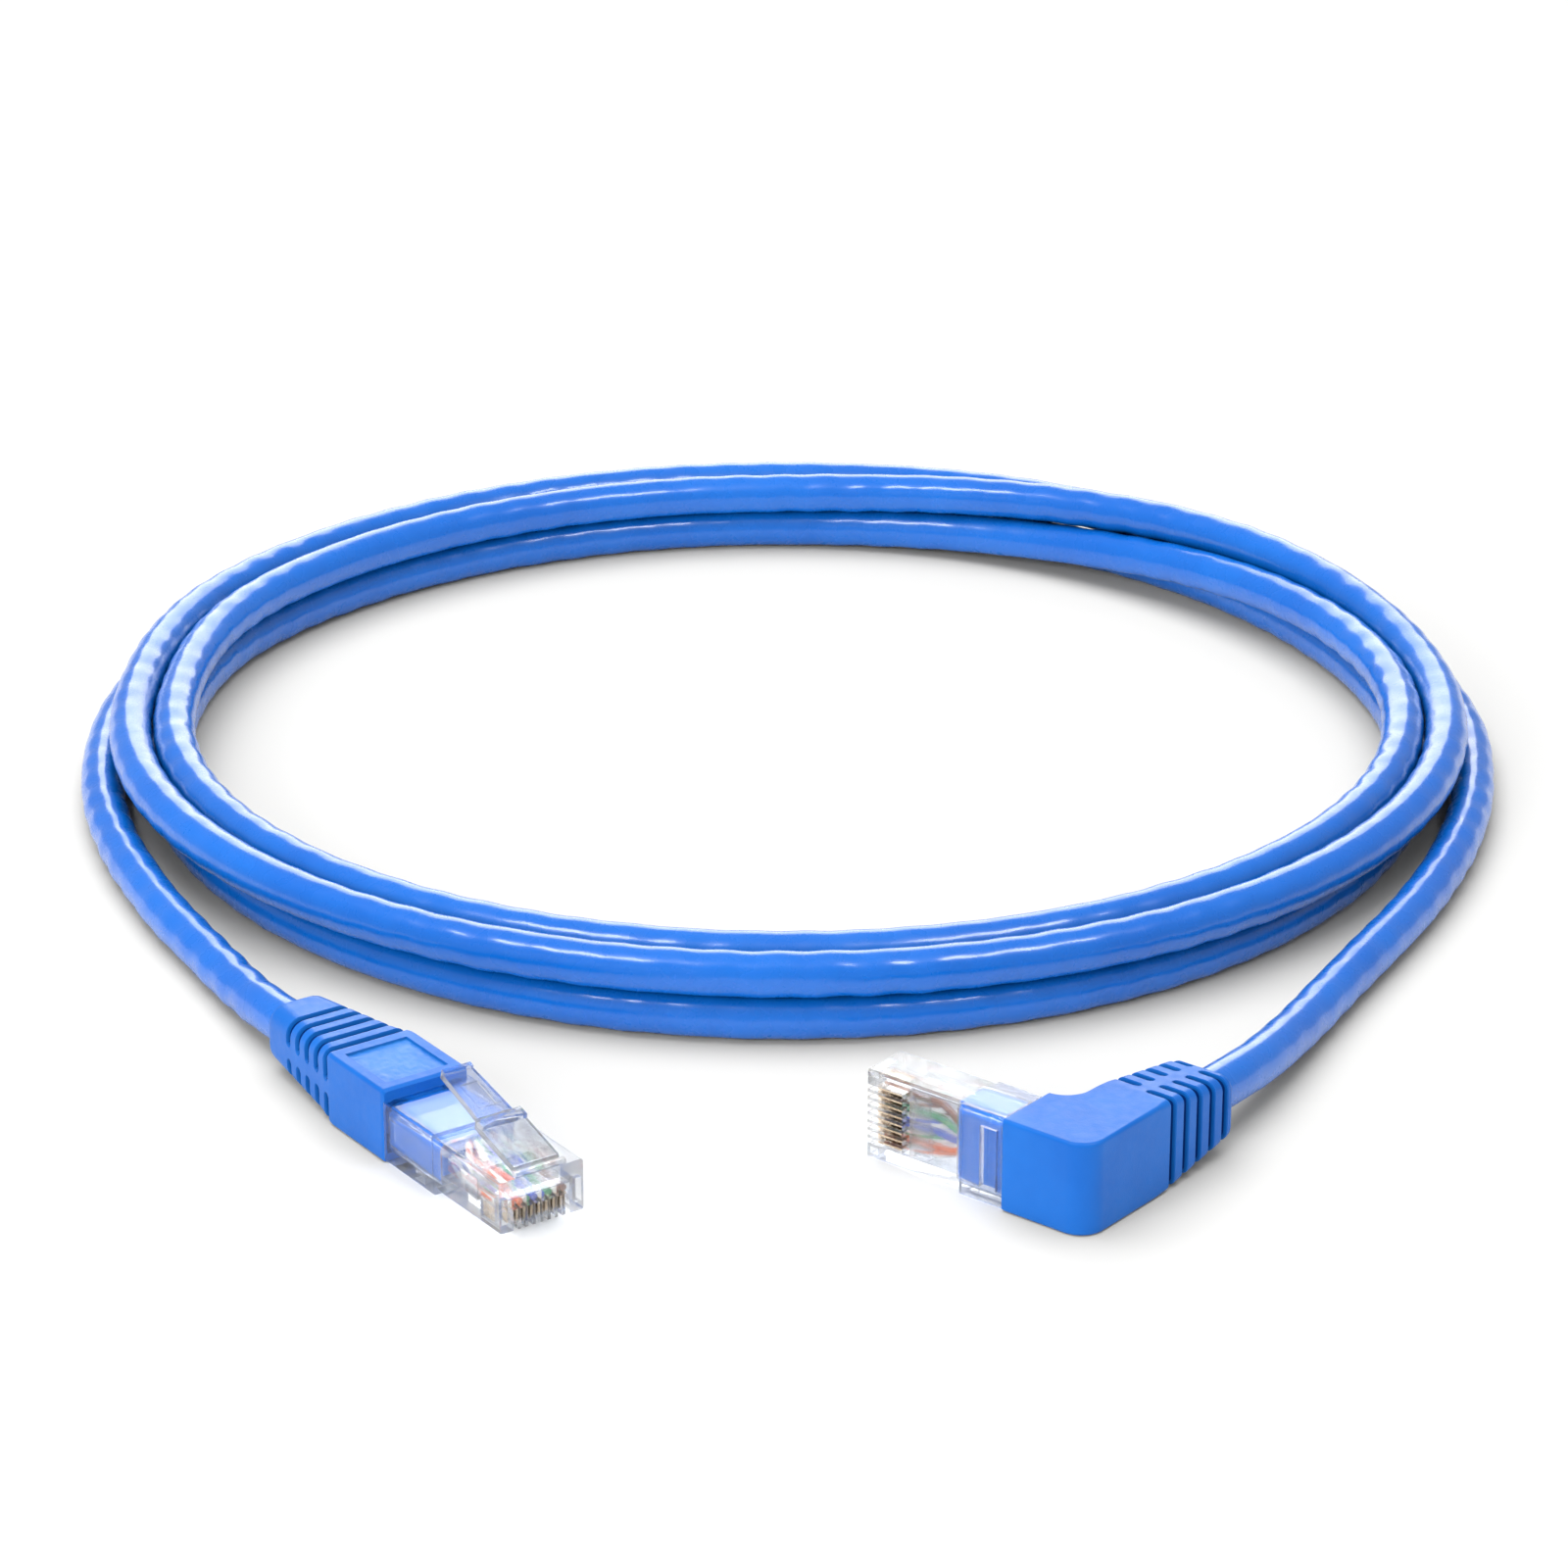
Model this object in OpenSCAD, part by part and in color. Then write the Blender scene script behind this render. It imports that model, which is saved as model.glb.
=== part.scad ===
// Ethernet patch cable: a coiled round cable with a straight plug on one end
// and a right-angle plug on the other, lying on a table. Millimetres, +Z up.
// The origin is on the table, midway between the two connectors.

/* [Cable] */
// Outer diameter of the round jacket
cable_d = 5.9; // [5.6:0.1:6.0]
// Radius of the coil's inner turns, at the middle of the cable
coil_inner_r = 86.8; // [84:0.1:88]
// Radius of the coil's outer turns, at the middle of the cable
coil_outer_r = 93.6; // [93:0.1:96]
// Centre of the coil, left to right
coil_x = 5.5; // [3:0.5:8]
// Centre of the coil, front to back
coil_y = 122.6; // [120:0.2:126]

/* [Modular plug] */
// Width of the nose, set by the eight-way jack
plug_w = 11.68; // [11.5:0.01:11.8]
// Height of the nose, without the latch
plug_h = 6.6; // [6.4:0.05:6.8]
// Length of the part that goes into the jack
nose_len = 14.5; // [13:0.5:16]
// Distance between neighbouring contacts
pitch = 1.02; // [1.0:0.01:1.04]
// Length of the latch from its hinge to its free end
latch_len = 18; // [15:0.5:18.5]
// Angle that the free latch stands up from the plug
latch_rise = 16; // [13:0.5:18]

/* [Straight connector] */
// Heading of the cable as it leaves the straight connector, in degrees
straight_heading = 125.3; // [122:0.1:128]
// Nose of the straight plug, left to right
straight_x = -23.3; // [-26:0.1:-20]
// Nose of the straight plug, front to back
straight_y = -22.6; // [-25:0.1:-20]
// Visible length of the straight plug in front of its boot
straight_reach = 25.5; // [24:0.5:26]

/* [Right-angle connector] */
// Heading from the angled plug's nose to its boot, in degrees
angled_heading = -39; // [-41:0.5:-37]
// Nose of the angled plug, left to right
angled_x = 15; // [13:0.5:17]
// Nose of the angled plug, front to back
angled_y = -3.7; // [-6:0.1:-1]
// Visible length of the angled plug in front of its boot
angled_reach = 20.8; // [20:0.1:21.5]

/* [Boots] */
// Width of both boots across the plug
boot_w = 12.0; // [12.0:0.1:12.4]
// Height of both boots from the contact side to the latch side
boot_h = 9.6; // [9.4:0.1:10]
// Length of the straight boot
boot_len = 31; // [30:0.5:32]
// Number of grooves in each strain relief
grooves = 5; // [3:1:5]
// Distance from one groove to the next
groove_step = 2.7; // [2.5:0.1:2.8]

/* [Hidden] */
PINS = 8;
FINE = 48;
WIRE_COLOURS = [
    [0.95, 0.78, 0.62], [0.95, 0.42, 0.12], [0.72, 0.90, 0.74], [0.10, 0.25, 0.75],
    [0.72, 0.80, 0.95], [0.10, 0.55, 0.25], [0.85, 0.76, 0.68], [0.42, 0.24, 0.14]];

// Plug, in its own frame: nose at x = 0, cable towards +x, width along y,
// contact side at z = 0 and latch side up.
skirt_w = 11.9;
skirt_drop = 0.9;
skirt_top = 7.1;
neck_w = 10;
neck_low = 0.1;
neck_top = 6.5;
neck_len = 2.5;
axis_z = 3.3;
slot_w = 0.62;
slot_len = 5.2;
wire_r = 0.46;
wire_z = 3.1;
wire_front = 1.4;
slot_top = wire_z - wire_r;
row_w = PINS * pitch + 0.5;
guide_front = 5.6;
guide_len = 2.8;
guide_h = 1.9;
wires_bend = 9.4;
jacket_front = 13.4;
bundle_step = 1.1;
bundle_rise = 0.55;
oval_w = 8.4;
oval_h = 5.0;
flat_w = 10.0;
flat_h = 5.2;
flat_round = 1.0;
fit_gap = 0.05;
blade_w = 0.35;
blade_front = 0.9;
blade_len = 3.9;
blade_low = 0.45;
hinge_x = 1.3;
hinge_z = 7.25;
hinge_r = 0.45;
latch_t = 0.9;
latch_wide = 6.2;
latch_wide_len = 8.4;
latch_root_w = 4.8;
latch_tip_w = 4.0;
lip_len = 0.65;
clamp_front = 17.4;
clamp_len = 2.4;
clamp_w = 8;
clamp_deep = 0.9;
corner_hole_low = 1.1;
corner_hole_h = 3.2;

// Boots, in the plug's frame
boot_low = -1.15;
boot_round = 1.0;
boot_mid = boot_low + boot_h / 2;
groove_w = 1.0;
groove_deep = 1.0;
block_len = 12.8;
tail_w = 8.4;
tail_h = 7.6;
spine = 1.3;
bore_r = cable_d / 2 + fit_gap;
panel_deep = 0.3;

// The right-angle boot's second arm runs along the plug's +z
arm_mid = 28.6;
arm_w = 9.4;
arm_end = 29;
arm_block_end = 15.2;
arm_tail_v = 8.2;
corner_r = 3.2;
fillet_r = 3.4;
cable_bend = 4.5;
slot_outer_end = 29.5;
slot_inner_end = 27.7;
slot_stagger = 0.9;

straight_lift = -boot_low;
angled_lift = boot_w / 2;

// Routes of the two tails on the table, from each boot to the side of the coil
straight_exit = [
    straight_x + (straight_reach + boot_len) * cos(straight_heading),
    straight_y + (straight_reach + boot_len) * sin(straight_heading),
    straight_lift + axis_z];
STRAIGHT_ROUTE = [
    [-59.6, 29.3, 4.0], [-62.8, 35.4, 3.3], [-66.2, 42.1, 2.95], [-70, 49.6, 2.95],
    [-75.5, 60.1, 2.95], [-80.5, 71.6, 2.95], [-85, 83.6, 2.95], [-88.5, 96.1, 2.95],
    [-90.5, 107.1, 2.95]];
angled_exit = [
    angled_x + arm_mid * cos(angled_heading) - arm_end * sin(angled_heading),
    angled_y + arm_mid * sin(angled_heading) + arm_end * cos(angled_heading),
    angled_lift];
ANGLED_ROUTE = [
    [59, 6, 5.6], [62.5, 11.8, 4.8], [66.2, 19.1, 4.0], [69.6, 26.4, 3.3],
    [73, 33.7, 2.95], [79.4, 46.4, 2.95], [85.5, 58.1, 2.95], [91, 70.1, 2.95],
    [95.5, 82.3, 2.95], [99, 94.6, 2.95], [101.2, 106.9, 2.95]];
CABLE_SIDES = 12;
WIRE_SIDES = 8;

function pin_y(pin) = (4.5 - pin) * pitch;
function bundle_y(pin) = (1.5 - floor((pin - 1) / 2)) * bundle_step;
function lerp(a, b, t) = a + (b - a) * t;
function bundle_z(pin) = axis_z + (pin % 2 == 0 ? -bundle_rise : bundle_rise);

// A tube along a route: one ring of points square to the path at each point
function along(p, i) = let(n = len(p), d = p[min(i + 1, n - 1)] - p[max(i - 1, 0)]) d / norm(d);
function ring_at(p, i, r, sides) =
    let(t = along(p, i), side = [t[1], -t[0], 0] / norm([t[0], t[1]]), top = cross(side, t))
    [for (k = [0:sides - 1]) let(a = 360 * k / sides)
        p[i] + r * (cos(a) * side + sin(a) * top)];

module tube(route, r, s) {
    n = len(route);
    points = [for (i = [0:n - 1]) each ring_at(route, i, r, s)];
    walls = [for (i = [0:n - 2]) for (k = [0:s - 1])
        let(a = i * s + k, b = i * s + (k + 1) % s)
        each [[a, b, b + s], [a, b + s, a + s]]];
    first_cap = [for (k = [1:s - 2]) [0, k + 1, k]];
    last_cap = [for (k = [1:s - 2]) [(n - 1) * s, (n - 1) * s + k, (n - 1) * s + k + 1]];
    polyhedron(points, concat(walls, first_cap, last_cap));
}

// Rectangle with round corners, centred
module round_rect(w, h, r) {
    square([w - 2 * r, h], center = true);
    square([w, h - 2 * r], center = true);
    for (x = [-1, 1], y = [-1, 1])
        translate([x * (w / 2 - r), y * (h / 2 - r)]) circle(r, $fn = FINE);
}

// Bar along +x from x0 with a round-cornered section, y wide and z high
module bar(x0, length, w, h, z_mid, r) {
    translate([x0, 0, z_mid]) rotate([90, 0, 90]) linear_extrude(length) round_rect(w, h, r);
}

module rod(from, to, r) {
    d = to - from;
    translate(from) rotate([0, acos(d[2] / norm(d)), atan2(d[1], d[0])])
        cylinder(r = r, h = norm(d), $fn = FINE);
}

module at_straight() {
    translate([straight_x, straight_y, straight_lift]) rotate([0, 0, straight_heading]) children();
}

module at_angled() {
    translate([angled_x, angled_y, angled_lift])
        rotate([0, 0, angled_heading]) rotate([-90, 0, 0]) children();
}

// ---- Pieces of one modular plug ----

module plug_body(reach) {
    color([0.88, 0.93, 0.98, 0.45]) difference() {
        union() {
            bar(0, nose_len, plug_w, plug_h, plug_h / 2, 0.35);
            bar(nose_len, reach - nose_len, skirt_w, skirt_top + skirt_drop,
                (skirt_top - skirt_drop) / 2, 0.4);
            translate([reach, -neck_w / 2, neck_low]) cube([neck_len, neck_w, neck_top - neck_low]);
            translate([0, -latch_wide / 2 - 0.4, plug_h - 0.3]) cube([lip_len, latch_wide + 0.8, 1.0]);
        }
        for (pin = [1:PINS])
            translate([-1, pin_y(pin) - slot_w / 2, -1]) cube([slot_len + 1, slot_w, slot_top + 1]);
        translate([wire_front - 0.2, -row_w / 2, slot_top - 0.01])
            cube([guide_front, row_w, 2 * wire_r + 0.1]);
        translate([guide_front - 0.1, -row_w / 2 - 0.2, wire_z - guide_h / 2 - 0.1])
            cube([jacket_front - guide_front, row_w + 0.4, guide_h + 0.9]);
        bar(jacket_front - 0.2, reach - jacket_front - 0.4, flat_w + 0.3, flat_h + 0.3, axis_z, flat_round + 0.15);
        bar(reach - 1, neck_len + 2, oval_w + 0.3, oval_h + 0.3, axis_z, 2);
        translate([clamp_front, -clamp_w / 2, -skirt_drop - 1]) cube([clamp_len, clamp_w, 1 + clamp_deep]);
        for (side = [-1, 1])
            translate([-1, side * (plug_w / 2 - 0.75) - 0.45, corner_hole_low])
                cube([2.2, 0.9, corner_hole_h]);
    }
}

module latch() {
    color([0.88, 0.93, 0.98, 0.45])
    translate([hinge_x, 0, hinge_z]) rotate([0, -latch_rise, 0]) {
        rotate([90, 0, 0]) cylinder(r = hinge_r, h = latch_wide, center = true, $fn = FINE);
        difference() {
            translate([0, 0, -hinge_r]) linear_extrude(latch_t) polygon([
                [0, -latch_wide / 2], [latch_wide_len, -latch_wide / 2],
                [latch_wide_len, -latch_root_w / 2], [latch_len, -latch_tip_w / 2],
                [latch_len, latch_tip_w / 2], [latch_wide_len, latch_root_w / 2],
                [latch_wide_len, latch_wide / 2], [0, latch_wide / 2]]);
            translate([latch_len - 7.5, -1.2, latch_t - hinge_r - 0.25]) cube([4.5, 2.4, 1]);
        }
        translate([latch_wide_len - 1.6, -latch_wide / 2, latch_t - hinge_r - 0.01])
            cube([1.6, latch_wide, 0.55]);
        translate([latch_len - 0.8, -latch_tip_w / 2, latch_t - hinge_r - 0.01])
            cube([0.8, latch_tip_w, 0.35]);
    }
}

module contact(pin) {
    color("gold") translate([0, pin_y(pin) + blade_w / 2, 0]) rotate([90, 0, 0]) linear_extrude(blade_w) {
        translate([blade_front + 0.6, blade_low]) square([blade_len - 0.6, slot_top - blade_low]);
        translate([blade_front, blade_low + 0.6]) square([blade_len, slot_top - blade_low - 0.6]);
        translate([blade_front + 0.6, blade_low + 0.6]) circle(0.6, $fn = FINE);
    }
}

module wire(pin) {
    y = pin_y(pin);
    color(WIRE_COLOURS[pin - 1]) tube([
        [wire_front, y, wire_z], [wires_bend, y, wire_z],
        [(wires_bend + jacket_front) / 2, lerp(y, bundle_y(pin), 0.4), bundle_z(pin)],
        [jacket_front - 0.5, bundle_y(pin), bundle_z(pin)],
        [jacket_front, bundle_y(pin), bundle_z(pin)]], wire_r, WIRE_SIDES);
}

module wire_guide() {
    color([0.93, 0.95, 0.98, 0.6]) difference() {
        translate([guide_front, -row_w / 2, wire_z - guide_h / 2]) cube([guide_len, row_w, guide_h]);
        for (pin = [1:PINS])
            translate([guide_front - 1, pin_y(pin), wire_z]) rotate([0, 90, 0])
                cylinder(r = wire_r + 0.02, h = guide_len + 2, $fn = FINE);
    }
}

// End of the jacket, pressed flat by the plug's bar, and oval again where it passes the neck
module jacket_in_plug(reach) {
    bar(jacket_front, reach - 0.8 - jacket_front, flat_w, flat_h, axis_z, flat_round);
    bar(reach - 1, neck_len + 1, oval_w, oval_h, axis_z, oval_h / 2 - 0.01);
}

// ---- Straight connector ----

// Grooves round the strain relief, broken by a spine along the middle of each side
module straight_grooves(first) {
    for (i = [0:grooves - 1]) translate([first + i * groove_step, 0, 0]) difference() {
        translate([0, -boot_w, boot_mid - boot_h]) cube([groove_w, 2 * boot_w, 2 * boot_h]);
        shrink = i * groove_step / (boot_len - block_len);
        core_w = boot_w - (boot_w - tail_w) * shrink - 2 * groove_deep;
        core_h = boot_h - (boot_h - tail_h) * shrink - 2 * groove_deep;
        translate([-1, -core_w / 2, boot_mid - core_h / 2]) cube([3, core_w, core_h]);
        translate([-1, -boot_w, boot_mid - spine / 2]) cube([3, 2 * boot_w, spine]);
    }
}

module straight_boot() {
    x0 = straight_reach;
    block_end = x0 + block_len;
    x1 = x0 + boot_len;
    color([0.16, 0.5, 0.9]) difference() {
        intersection() {
            bar(x0, boot_len, boot_w, boot_h, boot_mid, boot_round);
            translate([0, 0, boot_mid - boot_h]) linear_extrude(2 * boot_h) polygon([
                [x0, -boot_w / 2], [block_end, -boot_w / 2], [x1 - 1, -tail_w / 2],
                [x1, 1 - tail_w / 2], [x1, tail_w / 2 - 1], [x1 - 1, tail_w / 2],
                [block_end, boot_w / 2], [x0, boot_w / 2]]);
            translate([0, boot_w, boot_mid]) rotate([90, 0, 0]) linear_extrude(2 * boot_w) polygon([
                [x0, -boot_h / 2], [block_end, -boot_h / 2], [x1 - 1, -tail_h / 2],
                [x1, 1 - tail_h / 2], [x1, tail_h / 2 - 1], [x1 - 1, tail_h / 2],
                [block_end, boot_h / 2], [x0, boot_h / 2]]);
        }
        straight_grooves(block_end + 0.4);
        translate([x0 - 1, -neck_w / 2 - fit_gap, neck_low - fit_gap])
            cube([neck_len + 1 + fit_gap, neck_w + 2 * fit_gap, neck_top - neck_low + 2 * fit_gap]);
        translate([x0, 0, axis_z]) rotate([0, 90, 0]) cylinder(r = bore_r, h = boot_len + 2, $fn = FINE);
        translate([x0 + 1.8, -4.3, boot_low + boot_h - panel_deep]) cube([block_len - 3, 8.6, 2]);
    }
}

module straight_jacket_end() {
    color([0.14, 0.45, 0.88]) {
        jacket_in_plug(straight_reach);
        translate([straight_reach + neck_len, 0, axis_z]) rotate([0, 90, 0])
            cylinder(r = cable_d / 2, h = boot_len - neck_len, $fn = FINE);
    }
}

// ---- Right-angle connector ----

// Seen along the plug's width: the L from the plug to the arm that holds the cable
module angled_outline() {
    x0 = angled_reach;
    inner = arm_mid - arm_w / 2;
    outer = arm_mid + arm_w / 2;
    top = boot_low + boot_h;
    difference() {
        union() {
            translate([x0, boot_low]) square([outer - corner_r - x0, boot_h]);
            translate([inner, boot_low + corner_r]) square([arm_w, arm_end - boot_low - corner_r]);
            translate([outer - corner_r, boot_low + corner_r]) circle(corner_r, $fn = FINE);
            translate([inner - fillet_r, top - 0.5]) square([fillet_r + 1, fillet_r + 0.5]);
        }
        translate([inner - fillet_r, top + fillet_r]) circle(fillet_r, $fn = FINE);
    }
}

// One groove round one side of the arm, from one distance out to another
module arm_groove(i, from, to) {
    shrink = i * groove_step / (arm_end - arm_block_end);
    core_v = boot_w - (boot_w - arm_tail_v) * shrink - 2 * groove_deep;
    core_w = arm_w - 2 * groove_deep;
    difference() {
        translate([from, -boot_w, 0]) cube([to - from, 2 * boot_w, groove_w]);
        translate([arm_mid - core_w / 2, -core_v / 2, -1]) cube([core_w, core_v, 3]);
    }
}

// Grooves round the arm's two sides; those of the inner side lie a little further along
module angled_grooves() {
    for (i = [0:grooves - 1]) translate([0, 0, arm_block_end + 0.4 + i * groove_step]) {
        arm_groove(i, slot_outer_end, arm_mid + arm_w);
        translate([0, 0, slot_stagger]) arm_groove(i, arm_mid - arm_w, slot_inner_end);
    }
}

module angled_cable_path(r) {
    rod([angled_reach, 0, axis_z], [arm_mid - cable_bend, 0, axis_z], r);
    translate([arm_mid - cable_bend, 0, axis_z + cable_bend]) rotate([90, 0, 0])
        rotate([0, 0, -90]) rotate_extrude(angle = 90, $fn = FINE)
            translate([cable_bend, 0]) circle(r, $fn = FINE);
    rod([arm_mid, 0, axis_z + cable_bend], [arm_mid, 0, arm_end], r);
}

module angled_boot() {
    half = boot_w / 2;
    tail = arm_tail_v / 2;
    color([0.16, 0.5, 0.9]) difference() {
        intersection() {
            translate([0, half, 0]) rotate([90, 0, 0]) linear_extrude(boot_w) angled_outline();
            rotate([90, 0, 90]) linear_extrude(arm_mid + arm_w) polygon([
                [-half, boot_low], [half, boot_low], [half, arm_block_end], [tail, arm_end - 1],
                [tail - 1, arm_end], [1 - tail, arm_end], [-tail, arm_end - 1],
                [-half, arm_block_end]]);
        }
        angled_grooves();
        translate([angled_reach - 1, -neck_w / 2 - fit_gap, neck_low - fit_gap])
            cube([neck_len + 1 + fit_gap, neck_w + 2 * fit_gap, neck_top - neck_low + 2 * fit_gap]);
        angled_cable_path(bore_r);
        translate([arm_mid, 0, arm_end - 1]) cylinder(r = bore_r, h = 3, $fn = FINE);
    }
}

module angled_jacket_end() {
    color([0.14, 0.45, 0.88]) {
        jacket_in_plug(angled_reach);
        difference() {
            angled_cable_path(cable_d / 2);
            translate([angled_reach - 1, -6, -1]) cube([neck_len + 1, 12, 9]);
        }
    }
}

// ---- Cable ----

module coil_jacket() {
    low = cable_d / 2;
    color([0.14, 0.45, 0.88]) translate([coil_x, coil_y, 0]) rotate_extrude($fn = 180)
        translate([(coil_inner_r + coil_outer_r) / 2, 6.1])
            round_rect(coil_outer_r - coil_inner_r + cable_d, 12.2, low - 0.01);
}

module straight_tail_jacket() {
    color([0.14, 0.45, 0.88]) tube(concat([straight_exit], STRAIGHT_ROUTE), cable_d / 2, CABLE_SIDES);
}

module angled_tail_jacket() {
    color([0.14, 0.45, 0.88]) tube(concat([angled_exit], ANGLED_ROUTE), cable_d / 2, CABLE_SIDES);
}

coil_jacket();
straight_tail_jacket();
angled_tail_jacket();
at_straight() plug_body(straight_reach);  // straight_plug_body
at_straight() latch();  // straight_latch
at_straight() wire_guide();  // straight_wire_guide
at_straight() straight_jacket_end();
at_straight() straight_boot();
at_angled() plug_body(angled_reach);  // angled_plug_body
at_angled() latch();  // angled_latch
at_angled() wire_guide();  // angled_wire_guide
at_angled() angled_jacket_end();
at_angled() angled_boot();
for (pin = [1:PINS]) {
    at_straight() contact(pin);
    at_straight() wire(pin);
    at_angled() contact(pin);
    at_angled() wire(pin);
}
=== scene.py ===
"""Ethernet patch cable in its studio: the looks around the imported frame. Metres, +Z up."""
import math

import bmesh
import bpy
import numpy as np
from mathutils import Matrix, Vector, noise


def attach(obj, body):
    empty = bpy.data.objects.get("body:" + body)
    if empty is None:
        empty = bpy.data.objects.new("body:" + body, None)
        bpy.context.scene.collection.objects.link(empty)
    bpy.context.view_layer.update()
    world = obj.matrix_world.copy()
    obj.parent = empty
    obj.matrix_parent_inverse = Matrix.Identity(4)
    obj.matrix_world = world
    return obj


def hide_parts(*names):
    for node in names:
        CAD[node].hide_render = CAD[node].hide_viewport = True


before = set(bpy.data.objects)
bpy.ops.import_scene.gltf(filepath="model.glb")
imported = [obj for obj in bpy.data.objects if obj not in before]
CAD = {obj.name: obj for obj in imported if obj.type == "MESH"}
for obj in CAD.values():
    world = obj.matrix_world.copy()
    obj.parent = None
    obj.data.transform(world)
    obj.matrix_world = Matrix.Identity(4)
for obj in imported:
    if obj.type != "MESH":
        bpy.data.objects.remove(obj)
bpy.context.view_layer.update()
BODY = "patch_cable"
MM = 0.001
scene = bpy.context.scene
scene.view_settings.view_transform = "Standard"

# ---- Camera ----

camera_data = bpy.data.cameras.new("camera")
camera_data.lens = 118.83
camera_data.sensor_width = 36
camera_data.shift_x = -0.00283
camera_data.shift_y = -0.01543
camera = bpy.data.objects.new("camera", camera_data)
camera.location = (0.0055, -0.5616, 0.28006)
camera.rotation_euler = (math.radians(67.74), 0, 0)
scene.collection.objects.link(camera)
scene.camera = camera

# ---- Helpers ----


def lerp(a, b, share):
    return a + (b - a) * share


def smooth(share):
    share = min(max(share, 0.0), 1.0)
    return share * share * (3 - 2 * share)


def mesh_piece(name, points, faces, sharp=None):
    """A smooth mesh object in the shared frame; edges that turn more than sharp degrees stay crisp."""
    mesh = bpy.data.meshes.new(name)
    mesh.from_pydata([tuple(p) for p in points], [], faces)
    form = bmesh.new()
    form.from_mesh(mesh)
    bmesh.ops.recalc_face_normals(form, faces=form.faces)
    for face in form.faces:
        face.smooth = True
    if sharp is not None:
        for edge in form.edges:
            edge.smooth = edge.calc_face_angle(0) < math.radians(sharp)
    form.to_mesh(mesh)
    form.free()
    piece = bpy.data.objects.new(name, mesh)
    scene.collection.objects.link(piece)
    return piece


def ring_faces(rings, sides, closed=False):
    """Quads between neighbouring rings of points; closed joins the last ring to the first."""
    faces = []
    for i in range(rings if closed else rings - 1):
        a = i * sides
        b = ((i + 1) % rings) * sides
        for k in range(sides):
            n = (k + 1) % sides
            faces.append((a + k, a + n, b + n, b + k))
    return faces


def resampled(line, step):
    """The points of a line again, evenly spaced."""
    line = np.array(line, float)
    along = np.concatenate([[0], np.cumsum(np.linalg.norm(np.diff(line, axis=0), axis=1))])
    at = np.linspace(0, along[-1], int(round(along[-1] / step)) + 1)
    return np.stack([np.interp(at, along, line[:, k]) for k in range(3)], axis=1)


def curve_through(points, step):
    """A centripetal curve through points, as evenly spaced points."""
    knots = [np.array(p, float) for p in points]
    knots = [2 * knots[0] - knots[1]] + knots + [2 * knots[-1] - knots[-2]]
    line = []
    for a, b, c, d in zip(knots, knots[1:], knots[2:], knots[3:]):
        t1 = np.linalg.norm(b - a) ** 0.5
        t2 = t1 + np.linalg.norm(c - b) ** 0.5
        t3 = t2 + np.linalg.norm(d - c) ** 0.5
        count = max(2, math.ceil(np.linalg.norm(c - b) / step))
        for t in np.linspace(t1, t2, count, endpoint=False):
            ab = lerp(a, b, t / t1)
            bc = lerp(b, c, (t - t1) / (t2 - t1))
            cd = lerp(c, d, (t - t2) / (t3 - t2))
            abc = lerp(ab, bc, t / t2)
            bcd = lerp(bc, cd, (t - t1) / (t3 - t1))
            line.append(lerp(abc, bcd, (t - t1) / (t2 - t1)))
    line.append(knots[-2])
    return resampled(line, step)


def eased(line, passes):
    """A line with its bends evened out; its ends stay."""
    line = np.array(line, float)
    for _ in range(passes):
        line[1:-1] = (line[:-2] + 2 * line[1:-1] + line[2:]) / 4
    return line


def tube_rings(line, sides, radius):
    """Rings of points square to a line; radius is a function of the distance and the angle."""
    line = np.array(line, float)
    ahead = np.gradient(line, axis=0)
    ahead /= np.linalg.norm(ahead, axis=1)[:, None]
    side = np.cross(ahead, (0, 0, 1))
    side /= np.linalg.norm(side, axis=1)[:, None]
    top = np.cross(side, ahead)
    along = np.concatenate([[0], np.cumsum(np.linalg.norm(np.diff(line, axis=0), axis=1))])
    angles = np.arange(sides) * 2 * math.pi / sides
    reach = radius(along[:, None], angles[None, :])[:, :, None]
    out = side[:, None, :] * np.cos(angles)[None, :, None]
    out = out + top[:, None, :] * np.sin(angles)[None, :, None]
    return (line[:, None, :] + reach * out).reshape(-1, 3)


def tube_piece(name, line, sides, radius, sharp=60):
    """A tube along a line, closed at both ends."""
    points = tube_rings(line, sides, radius)
    rings = len(line)
    faces = ring_faces(rings, sides)
    faces.append(tuple(range(sides)))
    faces.append(tuple(range((rings - 1) * sides, rings * sides)))
    return mesh_piece(name, points, faces, sharp)


# ---- Cable: three and a half turns, and a tail to each connector, in millimetres ----

CABLE_R = 2.95 * MM
COIL_CENTRE = (5.5, 122.6)
STRAIGHT_HEADING = math.radians(125.3)
ANGLED_HEADING = math.radians(-39)
STRAIGHT_NOSE = (-23.3, -22.6, 1.15)
ANGLED_NOSE = (15, -3.7, 6.0)
# Height of the cable's axis over a plug's contact side
AXIS_Z = 3.3
# Along each connector from its nose: where its boot starts, and where it ends or turns
STRAIGHT_REACH = 25.5
BOOT_LEN = 31
ANGLED_REACH = 20.8
ARM_MID = 28.6
ARM_END = 29
STRAIGHT_EXIT = [
    STRAIGHT_NOSE[0] + (STRAIGHT_REACH + BOOT_LEN) * math.cos(STRAIGHT_HEADING),
    STRAIGHT_NOSE[1] + (STRAIGHT_REACH + BOOT_LEN) * math.sin(STRAIGHT_HEADING),
    STRAIGHT_NOSE[2] + AXIS_Z]
ANGLED_EXIT = [
    ANGLED_NOSE[0] + ARM_MID * math.cos(ANGLED_HEADING) - ARM_END * math.sin(ANGLED_HEADING),
    ANGLED_NOSE[1] + ARM_MID * math.sin(ANGLED_HEADING) + ARM_END * math.cos(ANGLED_HEADING),
    ANGLED_NOSE[2]]
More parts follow.
